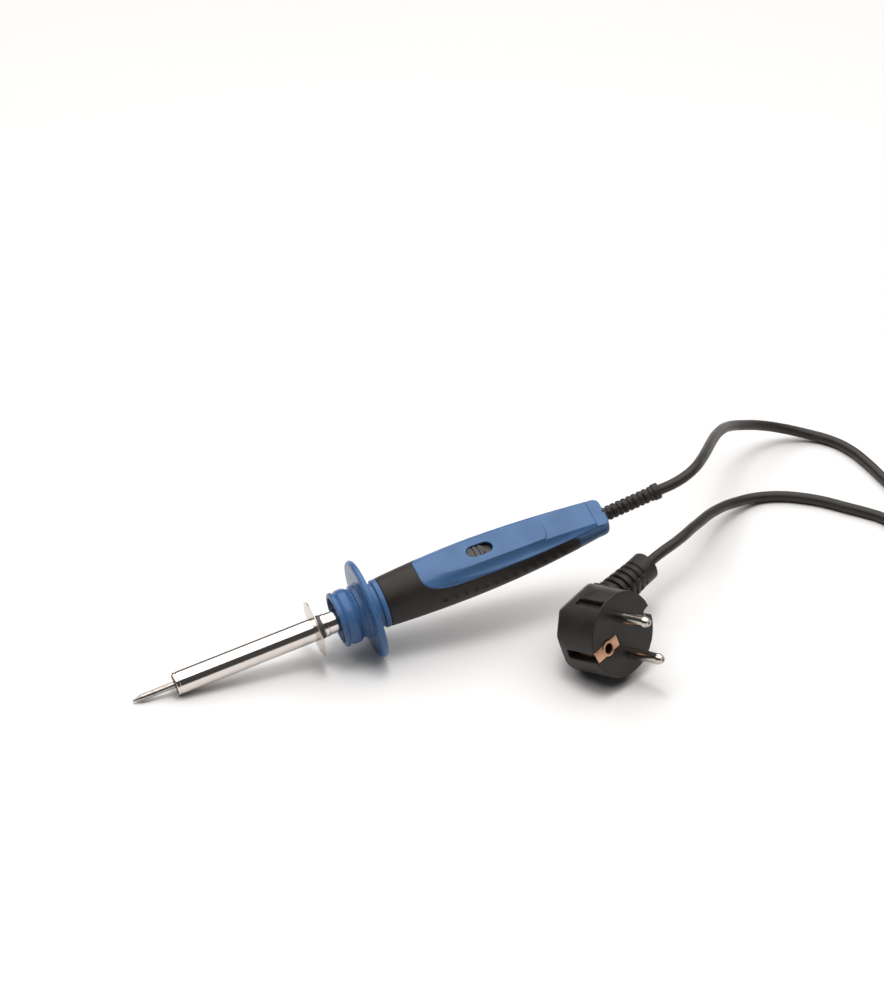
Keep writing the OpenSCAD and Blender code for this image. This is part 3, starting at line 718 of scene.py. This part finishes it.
def grip_mark(u, r, a):
    """Row of small slanted bars along each side of the grip, each with a groove behind it."""
    if not MARKS_U < u < MARKS_U + MARK_COUNT * MARK_PITCH:
        return 0
    z = r * math.sin(a) - 0.9 + 1.7 * smooth_step(138, 165, u)
    x = (u - MARKS_U) % MARK_PITCH - 1.8 - z * MARK_LEAN
    dz = max(0, abs(z) - (MARK_LEN - MARK_W) / 2)

    def bar(offset):
        return 1 - smooth_step(MARK_W / 2 - 0.25, MARK_W / 2 + 0.25, math.hypot(x - offset, dz))

    return MARK_H * bar(0) - GROOVE_DEPTH * bar(GROOVE_BEHIND)


def seam_distance(u, z):
    """Rough distance of a point of the grip's side from the edge where the cover begins."""
    if u <= COVER_U:
        return math.hypot(COVER_U - u, min(0, z - PANEL_Z))
    reach = 9.0
    for i in range(9):
        v = u + (i - 4) * 0.25
        if v > COVER_U:
            reach = min(reach, math.hypot(v - u, seam_height(v) - z))
    return reach if z < seam_height(u) else 0


def make_grip():
    """Soft grip: a closed ring in front, its top cut away for the cover and its end slanted."""
    us = stations([
        (GRIP_U, GRIP_U + 0.6, 0.1), (GRIP_U + 0.6, COVER_U - 0.6, 0.7),
        (COVER_U - 0.6, COVER_U + 3, 0.2), (COVER_U + 3, COVER_U + NOSE_LEN, 0.4),
        (COVER_U + NOSE_LEN, 205, 0.35)])
    columns = 260
    outer, inner = [], []
    for u in us:
        row, under = [], []
        for k in range(columns):
            a = 2 * math.pi * k / columns
            r = skin_r(u)
            z = r * math.sin(a)
            mirrored = a if a < math.pi / 2 else math.pi - a
            if a > 3 * math.pi / 2:
                mirrored = a - 2 * math.pi
            ahead = max(0, grip_end(mirrored) - u)
            dip = max(edge_dip(seam_distance(u, z)), edge_dip(u - GRIP_U, 0.4, 0.5),
                      edge_dip(ahead, 0.3, 0.4))
            r += grip_mark(u, r, a) - dip
            row.append(polar(u, r, a))
            under.append(polar(u, skin_r(u) - GRIP_WALL, a))
        outer.append(row)
        inner.append(under)
    grip = shell_grid("grip", outer, inner, IRON, wrap=True)
    seam = [(COVER_U, FAR), (COVER_U, PANEL_Z)] + [(u, seam_height(u)) for u in nose_stations(3)]
    corner_u = slanted_end(seam_height(GRIP_END_U))
    outline = rounded(seam + [
        (COVER_U + NOSE_LEN, SEAM_Z), (corner_u, seam_height(corner_u), GRIP_CORNER),
        (slanted_end(-20), -20), (230, -20), (230, FAR)], 8)
    vertices, faces = prism(outline, -FAR, FAR, lambda x, z, y: (x, y, z))
    return boolean(grip, [new_object("cutter", vertices, faces, IRON)])


dress(make_cover(), "blue_plastic", "iron", "upper_shell")
dress(make_lower_tail(), "blue_plastic", "iron", "lower_shell")
dress(make_grip(), "soft_grip", "iron", "grip_sleeve")

# ---------------------------------------------------------------- front end

COLLAR_U, COLLAR_R = 92.6, 12.1
FLANGE_U, FLANGE_R = 106.35, 21.75
DISC_U, DISC_R = 82.6, 12.25
BARREL_U, BARREL_R = 19.1, 5.1
NECK_R, NECK_BORE_R, NECK_END = 4.65, 4.2, 107.2
SPACER_END, NECK_RING_END = DISC_U + 3.4, DISC_U + 5.3
PLATE_U, PLATE_T, PLATE_R = 94.4, 0.5, 9.6
NOSE_R, ROD_R, ROD_END, THREAD_R, ROOT_R, THREAD_PITCH, TIP_END = 0.35, 1.45, 22, 1.98, 1.7, 0.7, 34


def make_collar():
    """Collar behind the barrel: a band, a hollow, the wide flange, and a ring against the grip."""
    c, f = COLLAR_U, FLANGE_U
    r = COLLAR_R
    outline = rounded([
        (c, 10.3, 0.35), (c, r, 0.8), (c + 1.7, r, 0.4), (c + 1.95, r - 1.0, 0.3), (c + 2.5, r - 0.7, 0.5),
        (c + 3.6, r - 0.02, 1.2), (c + 6.4, r - 0.02, 1.2), (c + 8.0, r - 0.9, 0.6),
        (c + 8.5, r - 1.35, 0.25), (c + 9.1, r - 1.25, 0.25), (c + 9.5, r - 0.3, 0.35),
        (f - 2.3, r - 0.2, 0.6), (f - 1.45, r + 0.9, 0.8),
        (f - 1.4, FLANGE_R, 1.38), (f + 1.4, FLANGE_R, 1.38), (f + 1.45, r + 0.6, 0.8),
        (f + 2.4, r - 1.4, 0.5), (f + 3.3, 9.7, 0.3), (f + 4.85, 9.7, 0.25), (f + 5.05, 10.45, 0.2),
        (f + 5.5, GRIP_FRONT_R, 0.3), (GRIP_U - 0.05, GRIP_FRONT_R, 0.3), (GRIP_U - 0.05, 8.5, 0.1),
        (103.55, 8.45), (103.55, NECK_R + 0.2), (c + 4, NECK_R + 0.2, 0.3), (c + 3.6, 9.9, 0.4)], 7)
    return lathe("guard_collar_skin", outline, IRON, sides=192)


def make_barrel():
    """Tube with a rolled lip at its front end."""
    lip, r = BARREL_U, BARREL_R
    outline = rounded([
        (lip, 4.25, 0.1), (lip, r, 0.45), (lip + 1.15, r, 0.2), (lip + 1.3, r - 0.16, 0.1),
        (lip + 1.55, r - 0.16, 0.1), (lip + 1.7, r - 0.01, 0.2), (DISC_U, r - 0.01),
        (DISC_U, 4.7), (lip + 1, 4.7), (lip + 0.7, 4.25, 0.1)], 5)
    return lathe("barrel_skin", outline, IRON, sides=160)


def make_disc():
    """Heat disc, very slightly dished, with a rolled rim."""
    d = DISC_U
    outline = rounded([
        (d, 4.75), (d, 7.5, 3), (d + 0.12, 11.2, 2), (d - 0.02, DISC_R, 0.25), (d + 0.62, DISC_R, 0.25),
        (d + 0.62, 11.2, 2), (d + 0.6, 7.5, 3), (d + 0.6, 4.75)], 5)
    return lathe("heat_disc_skin", outline, IRON, sides=160)


def make_spacer():
    """Ring behind the heat disc; its near-black colour is painted shade, standing in for the disc's
    shadow.
    """
    d, bore = DISC_U, NECK_R + 0.07
    outline = rounded([
        (d + 0.7, bore), (d + 0.7, 5.5, 0.3), (d + 1.9, 5.5, 0.3), (d + 2.05, 5.2, 0.15),
        (SPACER_END, 5.1, 0.2), (SPACER_END, bore)], 4)
    return lathe("spacer_skin", outline, IRON, sides=96)


def make_neck():
    """Tube from the barrel into the handle: a ring, a plate in the collar's mouth, a flange inside."""
    start, ring = DISC_U - 4, SPACER_END + 0.2
    outline = rounded([
        (start, NECK_R), (ring, NECK_R), (ring, 5.1, 0.3), (NECK_RING_END, 5.1, 0.3),
        (NECK_RING_END + 0.2, 4.85, 0.15), (PLATE_U, 4.85, 0.3), (PLATE_U, PLATE_R, 0.2),
        (PLATE_U + PLATE_T, PLATE_R, 0.2), (PLATE_U + PLATE_T, NECK_R), (NECK_END - 1, NECK_R),
        (NECK_END - 1, 6.65), (NECK_END, 6.65), (NECK_END, NECK_BORE_R), (start, NECK_BORE_R)], 8)
    return lathe("neck_skin", outline, IRON, sides=128)


def make_tip():
    """Turned tip: rounded point, long cone, rod, and a thread at the hidden end."""
    angles = [math.radians(a) for a in range(0, 76, 15)]
    point = [(NOSE_R * (1 - math.cos(a)), NOSE_R * math.sin(a)) for a in angles]
    cone = rounded([(0.3, 0.33), (3.9, 1.37, 1.0), (4.2, ROD_R, 0.5), (18, ROD_R), (ROD_END, ROD_R)], 5)
    thread = []
    for i in range(17):
        x = ROD_END + i * THREAD_PITCH
        thread += [(x + 0.12, THREAD_R), (x + 0.32, THREAD_R), (x + 0.58, ROOT_R)]
    outline = point + cone[1:] + thread + [(TIP_END, ROOT_R - 0.1), (TIP_END, 0)]
    return lathe("tip_skin", outline, IRON, sides=96, closed=False, sharp=50)


dress(make_collar(), "blue_plastic", "iron", "guard_collar", paint="glossy_blue")
dress(make_barrel(), "barrel_metal", "iron", "barrel")
dress(make_disc(), "plate_metal", "iron", "heat_disc")
# The spacer ring's near-black colour is painted shade behind the heat disc.
dress(make_spacer(), "dark_metal", "iron", "spacer_ring")
dress(make_neck(), "barrel_metal", "iron", "neck_tube")
dress(make_tip(), "tip_metal", "tip_body", "tip")

# ---------------------------------------------------------------- switch knob

KNOB_LEN, KNOB_GAP = 8.0, 0.25
KNOB_TOP, KNOB_BASE, SKIRT_TOP, SKIRT_BASE, STALK_BASE = -0.5, -2.4, -2.2, -2.9, -5.4
GROOVE_X, GROOVE_HALF, GROOVE_FLOOR = 1.1, 0.48, -1.1
SKIRT_FRONT, SKIRT_REAR, SKIRT_HALF = -4.4, 7, 3.4
KNURLS, KNURL_HALF = (-3.2, -2.5, 2.5, 3.2), 0.16


def make_knob():
    """Finger knob: a bar between two grooves on top, and a skirt that closes the slot behind it."""
    place = panel_matrix(SLOT_U) @ Matrix.Translation(((KNOB_LEN - SLOT_LEN) / 2 + KNOB_GAP, 0, 0))

    def slab(outline, low, high):
        vertices, faces = prism(outline, low, high)
        return new_object("slab", vertices, faces, place)

    def box(x0, x1, half, low, high):
        return slab([(x0, -half), (x1, -half), (x1, half), (x0, half)], low, high)

    body = slab(stadium(KNOB_LEN, SLOT_W - 0.5), KNOB_BASE, KNOB_TOP)
    boolean(body, [box(x - GROOVE_HALF, x + GROOVE_HALF, 4, GROOVE_FLOOR, 1)
                   for x in (-GROOVE_X, GROOVE_X)])
    skirt = slab(rounded([(x, y, 0.6) for x, y in (
        (SKIRT_FRONT, -SKIRT_HALF), (SKIRT_REAR, -SKIRT_HALF), (SKIRT_REAR, SKIRT_HALF),
        (SKIRT_FRONT, SKIRT_HALF))]), SKIRT_BASE, SKIRT_TOP)
    stalk = box(-1.2, 1.2, 1, STALK_BASE, -2)
    knurls = [box(x - KNURL_HALF, x + KNURL_HALF, 1.7, -0.8, -0.36) for x in KNURLS]
    return remeshed(join("switch_knob_skin", [body, skirt, stalk] + knurls), 0.1, 2)


dress(make_knob(), "knob_plastic", "switch_slider", "switch_knob")

# ---------------------------------------------------------------- strain relief

RIBS_START, RIBS_END = 0.6, 22.8
END_RING_R, RELIEF_BORE_R = 3.6, 2.33


def make_relief():
    """Ribbed strain relief: rings joined by pairs of webs that turn a quarter from gap to gap."""
    pitch, ring, core = 2.45, 1.35, 2.42
    rows, columns = 300, 96
    outer, inner = [], []
    for i in range(rows + 1):
        x = -1.0 + (RELIEF_LEN + 1.0) * i / rows
        row, under = [], []
        for k in range(columns):
            a = 2 * math.pi * k / columns
            if x > RIBS_END:
                r = END_RING_R - edge_dip(x - RIBS_END, 0.5, 0.5) - edge_dip(RELIEF_LEN - x, 0.6, 0.6)
            elif x < RIBS_START:
                r = RELIEF_R
            else:
                cell = (x - RIBS_START) / pitch
                phase = (cell % 1) * pitch
                turned = a + (math.pi / 2 if int(cell) % 2 else 0)
                web = smooth_step(0.86, 0.93, abs(math.cos(turned)))
                gap = pitch - ring
                rib = 1 - smooth_step(0, 0.22, phase) * (1 - smooth_step(gap - 0.22, gap, phase))
                r = core + (RELIEF_R - 0.18 - core) * web
                r = r + (RELIEF_R - r) * rib
            row.append(polar(x, r, a))
            under.append(polar(x, RELIEF_BORE_R, a))
        outer.append(row)
        inner.append(under)
    return shell_grid("strain_relief_skin", outer, inner, RELIEF, wrap=True, sharp=60)


dress(make_relief(), "black_rubber", "iron", "strain_relief")

# ---------------------------------------------------------------- plug

PLUG_R = 18.5
CLIP_W, STRIP_W, CLIP_LEN, CLIP_T, EARTH_Z, SOCKET_R = 5.4, 3.2, 14.0, 0.6, -10.0, 2.45
STRIP_T, STRIP_BOW, RECESS = 0.45, 0.45, 0.75
BOOT_R, RIB_R, RIB_PITCH, RIBS = 5.9, 7.8, 3.6, 5
BOOT_CAP_R = 6.6
PIN_R, PIN_Y, PIN_LEN, PIN_ROOT, PIN_HOLE = 2.4, 9.5, 19, -3, 18.2
PLUG_BACK = -30.0
# The body's outline by the distance behind its face: sides, top, bottom and slanted lower corners.
PLUG_SIDES = [(0, 18.5), (-12, 18.3), (-20, 16.6), (PLUG_BACK, 10)]
PLUG_TOP = [(-28, 19), (PLUG_BACK, 17)]
PLUG_BOTTOM = [(-14, -19), (-20, -17.8), (-24, -14), (PLUG_BACK, -4)]
PLUG_CORNER = [(-18.5, 20.5), (PLUG_BACK, 8.4)]
CORNER_Y, CORNER_Z = 0.564, -0.827
SHOULDER_X, SHOULDER_HALF = -16, 9
SLOT_FLOOR, STRIP_Z = 15.4, 14.9
SIDE_SLOT_X, SIDE_SLOT_Z = (-16, -1), (-5.9, -2.6)


def solid(outline, low, high, plane="XY"):
    """Outline on a plane of the plug's frame, extruded from low to high along the third axis."""
    orders = {"XY": lambda a, b, h: (a, b, h), "XZ": lambda a, b, h: (a, h, b),
              "YZ": lambda a, b, h: (h, a, b)}
    vertices, faces = prism(outline, low, high, orders[plane])
    return new_object("solid", vertices, faces, PLUG)


def block(x0, x1, y0, y1, z0, z1):
    return solid([(x0, y0), (x1, y0), (x1, y1), (x0, y1)], z0, z1)


def circle(x, y, r, sides):
    angles = [2 * math.pi * k / sides for k in range(sides)]
    return [(x + r * math.cos(a), y + r * math.sin(a)) for a in angles]


def earth_rod(x0, x1, r):
    """Round rod through the earth hole."""
    return solid(circle(0, EARTH_Z, r, 48), x0, x1, "YZ")


def boot_rod(z0, z1, r):
    """Round rod on the boot's axis."""
    return solid(circle(BOOT_X, 0, r, 64), z0, z1)


def between(x, table):
    """Value at x on the line through the table's points, which run from high x to low."""
    if x >= table[0][0]:
        return table[0][1]
    for (x0, v0), (x1, v1) in zip(table, table[1:]):
        if x >= x1:
            return v0 + (v1 - v0) * (x0 - x) / (x0 - x1)
    return table[-1][1]


def plug_section(x, a):
    """Point of the plug's outline at station x, at angle a round a centre that rises towards the back."""
    c, s = math.cos(a), math.sin(a)
    centre = 2.5 * smooth_step(22, 30, -x)
    along = centre * s
    r = -along + math.sqrt(along * along - centre * centre + PLUG_R * PLUG_R)
    if s > 0 and x < SHOULDER_X:
        r = max(r, min(SHOULDER_HALF / max(abs(c), 1e-6), 40))
    soft = 0.8
    r = soft_min(r, between(x, PLUG_SIDES) / max(abs(c), 1e-6), soft)
    limit = between(x, PLUG_TOP) if s > 0 else between(x, PLUG_BOTTOM)
    r = soft_min(r, (limit - centre) / (s if abs(s) > 1e-6 else 1e-6), soft)
    slant = CORNER_Y * abs(c) + CORNER_Z * s
    if slant > 0.05:
        r = soft_min(r, (between(x, PLUG_CORNER) - CORNER_Z * centre) / slant, soft)
    y, z = r * c, centre + r * s
    if SIDE_SLOT_X[0] < x < SIDE_SLOT_X[1] and SIDE_SLOT_Z[0] < z < SIDE_SLOT_Z[1]:
        r = min(r, SLOT_FLOOR / abs(c))
    if x > -CLIP_LEN - 2 and abs(y) < STRIP_W / 2 + 0.25:
        r = min(r, (STRIP_Z - 0.8) / abs(s))
    return (x, r * c, centre + r * s)


def make_plug_body():
    """Moulded plug: shaped body with recesses, a ribbed boot, and one skin over all of it."""
    columns, rows = 288, 90
    vertices = [plug_section(PLUG_BACK * i / rows, 2 * math.pi * (k + 0.5) / columns)
                for i in range(rows + 1) for k in range(columns)]
    faces = [(i * columns + k, i * columns + (k + 1) % columns, (i + 1) * columns + (k + 1) % columns,
              (i + 1) * columns + k) for i in range(rows) for k in range(columns)]
    faces += [tuple(range(columns)), tuple(range(rows * columns, (rows + 1) * columns))[::-1]]
    body = new_object("plug_skin", vertices, faces, PLUG)
    boolean(body, [block(-RECESS, 1, -CLIP_W / 2 - 0.2, CLIP_W / 2 + 0.2, -25, -3.3),
                   earth_rod(-8, 1, 3.1), earth_rod(-RECESS, 1, 3.8)])
    boot = [boot_rod(BOOT_Z - 8, BOOT_END - 1, BOOT_R)]
    for i in range(RIBS):
        z = BOOT_Z - 0.6 + i * RIB_PITCH
        boot.append(boot_rod(z, z + 2, RIB_R - i * 0.25))
    boot += [boot_rod(BOOT_END - 7, BOOT_END, BOOT_CAP_R),
             block(BOOT_X - BOOT_CAP_R, BOOT_X + BOOT_CAP_R, -1.5, 1.5, BOOT_Z - 3, BOOT_END - 6.5)]
    return remeshed(join("plug_skin", [body] + boot), 0.3, 3)


def make_pins():
    """Two hollow-ended pins in one mesh."""
    end = (PIN_HOLE, 0)
    side = rounded([(PIN_ROOT, PIN_R), (14.2, PIN_R), (16.9, PIN_R, 2.2), (PIN_LEN, 1.4, 1.0),
                    (PIN_LEN, 0.75, 0.15), (PIN_HOLE + 0.1, 0.6, 0.2), end], 8)[:-1]
    pins = []
    for s in (-1, 1):
        place = PLUG @ Matrix.Translation((0, s * PIN_Y, 0))
        pins.append(lathe("pin", [(PIN_ROOT, 0)] + side + [end], place, 64, False, 50))
    return join("plug_pins_skin", pins)


def make_clips():
    """Copper earth contacts: a bowed strip in each groove, and the plate round the earth hole."""
    strips = []
    for s in (-1, 1):
        top, bottom = [], []
        for i in range(25):
            x = -CLIP_LEN + 0.7 + (CLIP_LEN - 0.7) * i / 24
            bow = STRIP_BOW * math.sin(math.pi * i / 24)
            top.append((x, s * (STRIP_Z + bow)))
            bottom.append((x, s * (STRIP_Z - STRIP_T + bow)))
        strips.append(bevel(solid(top + bottom[::-1], -STRIP_W / 2, STRIP_W / 2, "XZ"), 0.12))
    plate = block(-CLIP_T, 0, -CLIP_W / 2, CLIP_W / 2, -17.3, -3.6)
    boolean(plate, [earth_rod(-0.3, 0.45, SOCKET_R + 1.0)], "UNION")
    boolean(plate, [earth_rod(-2, 2, SOCKET_R - 0.2)])
    bevel(plate, 0.12)
    return join("earth_strips", strips + [plate])


plug_skin = dress(make_plug_body(), "black_rubber", "iron", "plug_body")
plug_pins = dress(make_pins(), "pin_metal", "iron", "plug_pins")
earth_strips = dress(make_clips(), "copper", "iron", "plug_earth_clips")

# ---------------------------------------------------------------- cord tie and cord


TIE_HALF, TIE_TURN = 2.2, math.radians(-40)


def frame_outline(x0, x1, z0, z1, radius):
    return rounded([(x0, z0, radius), (x1, z0, radius), (x1, z1, radius), (x0, z1, radius)], 6)


def make_tie():
    """Flat tie round one side of the coil."""
    across = frame_outline(15.4, 36.9, 0.05, 9.7, 1.5)
    inside = frame_outline(15.9, 36.4, 0.4, 9.3, 1.3)
    n = len(across)
    rings = (across, inside)
    vertices = [(p[0], y, p[1]) for y in (-TIE_HALF, TIE_HALF) for ring in rings for p in ring]
    faces = []
    for i in range(n):
        j = (i + 1) % n
        faces += [(i, j, n + j, n + i), (2 * n + i, 3 * n + i, 3 * n + j, 2 * n + j),
                  (i, 2 * n + i, 2 * n + j, j), (n + i, n + j, 3 * n + j, 3 * n + i)]
    place = Matrix.Scale(MM, 4) @ Matrix.Translation(COIL) @ Matrix.Rotation(TIE_TURN, 4, "Z")
    return new_object("cord_tie", vertices, faces, place, sharp=50)


tie = dress(make_tie(), "case_plastic", "iron")
cord.data.materials.append(PAINTS["cord_rubber"])
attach(cord, "iron")
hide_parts("cord_lead", "cord_coil", "cord_tail")

# ---------------------------------------------------------------- floor and light


FLOOR = 6.0
FLOOR_DARK, FLOOR_LIGHT = (0.645, 0.636, 0.632), (0.655, 0.646, 0.642)
LAMP_PLACE, LAMP_TARGET, LAMP_SIZE, LAMP_POWER = (0.0, -0.02, 0.95), (0.03, 0, 0), (0.35, 0.3), 3.8
CAMERA_SIDE = Vector((math.sin(AZIMUTH), -math.cos(AZIMUTH), 0))
SOFTBOX_TILT, SOFTBOX_HALF = math.radians(15.8), math.radians(47.2)
SOFTBOX_DIR = math.cos(SOFTBOX_TILT) * Vector((0, 0, 1)) - math.sin(SOFTBOX_TILT) * CAMERA_SIDE
# Strengths of the softbox, of the rest of the room and of the sweep, and how high the sweep reaches.
SOFTBOX, ROOM, SWEEP, SWEEP_TOP = 2.45, 0.07, 0.3, 0.10


def make_floor():
    mesh = bpy.data.meshes.new("floor")
    corners = [(-FLOOR, -FLOOR, 0), (FLOOR, -FLOOR, 0), (FLOOR, FLOOR, 0), (-FLOOR, FLOOR, 0)]
    mesh.from_pydata(corners, [], [(0, 1, 2, 3)])
    floor = bpy.data.objects.new("floor", mesh)
    bpy.context.collection.objects.link(floor)
    p = Paint("floor_white")
    p.set(Base_Color=p.mix(p.noise(200, 2), FLOOR_DARK, FLOOR_LIGHT), Roughness=0.85,
          Specular_IOR_Level=0.2)
    floor.data.materials.append(p.material)


def make_lamp():
    """Overhead lamp that isn't seen in reflections, for the soft shadows."""
    data = bpy.data.lights.new("overhead", "AREA")
    data.shape = "RECTANGLE"
    data.size, data.size_y = LAMP_SIZE
    data.energy = LAMP_POWER
    light = bpy.data.objects.new("overhead", data)
    bpy.context.collection.objects.link(light)
    light.location = LAMP_PLACE
    light.visible_glossy = False
    light.rotation_mode = "QUATERNION"
    light.rotation_quaternion = (Vector(LAMP_PLACE) - Vector(LAMP_TARGET)).to_track_quat("Z", "Y")


def make_world():
    """Dim studio: a wide softbox overhead, leaning away from the camera, and a low sweep in front."""
    world = bpy.data.worlds.new("studio")
    world.use_nodes = True
    tree = world.node_tree
    direction = tree.nodes.new("ShaderNodeTexCoord").outputs["Generated"]

    def along(way):
        made = tree.nodes.new("ShaderNodeVectorMath")
        made.operation = "DOT_PRODUCT"
        tree.links.new(direction, made.inputs[0])
        made.inputs[1].default_value = way
        return made.outputs["Value"]

    def ramp(value, low, high, start, end):
        made = tree.nodes.new("ShaderNodeMapRange")
        made.interpolation_type = "SMOOTHSTEP"
        tree.links.new(value, made.inputs["Value"])
        for key, x in (("From Min", low), ("From Max", high), ("To Min", start), ("To Max", end)):
            made.inputs[key].default_value = x
        return made.outputs[0]

    def combine(operation, a, b):
        made = tree.nodes.new("ShaderNodeMath")
        made.operation = operation
        tree.links.new(a, made.inputs[0])
        tree.links.new(b, made.inputs[1])
        return made.outputs[0]

    edge = math.cos(SOFTBOX_HALF)
    box = ramp(along(SOFTBOX_DIR), edge - 0.02, edge + 0.02, ROOM, SOFTBOX)
    front = ramp(along(CAMERA_SIDE), -0.05, 0.2, 0.0, 1.0)
    low = ramp(along((0, 0, 1)), SWEEP_TOP - 0.04, SWEEP_TOP + 0.04, SWEEP, 0.0)
    level = combine("ADD", box, combine("MULTIPLY", front, low))
    background = tree.nodes["Background"]
    background.inputs["Color"].default_value = (1.0, 0.992, 0.984, 1)
    tree.links.new(level, background.inputs["Strength"])
    bpy.context.scene.world = world


make_floor()
make_world()
make_lamp()
bpy.context.scene.view_settings.view_transform = "Standard"
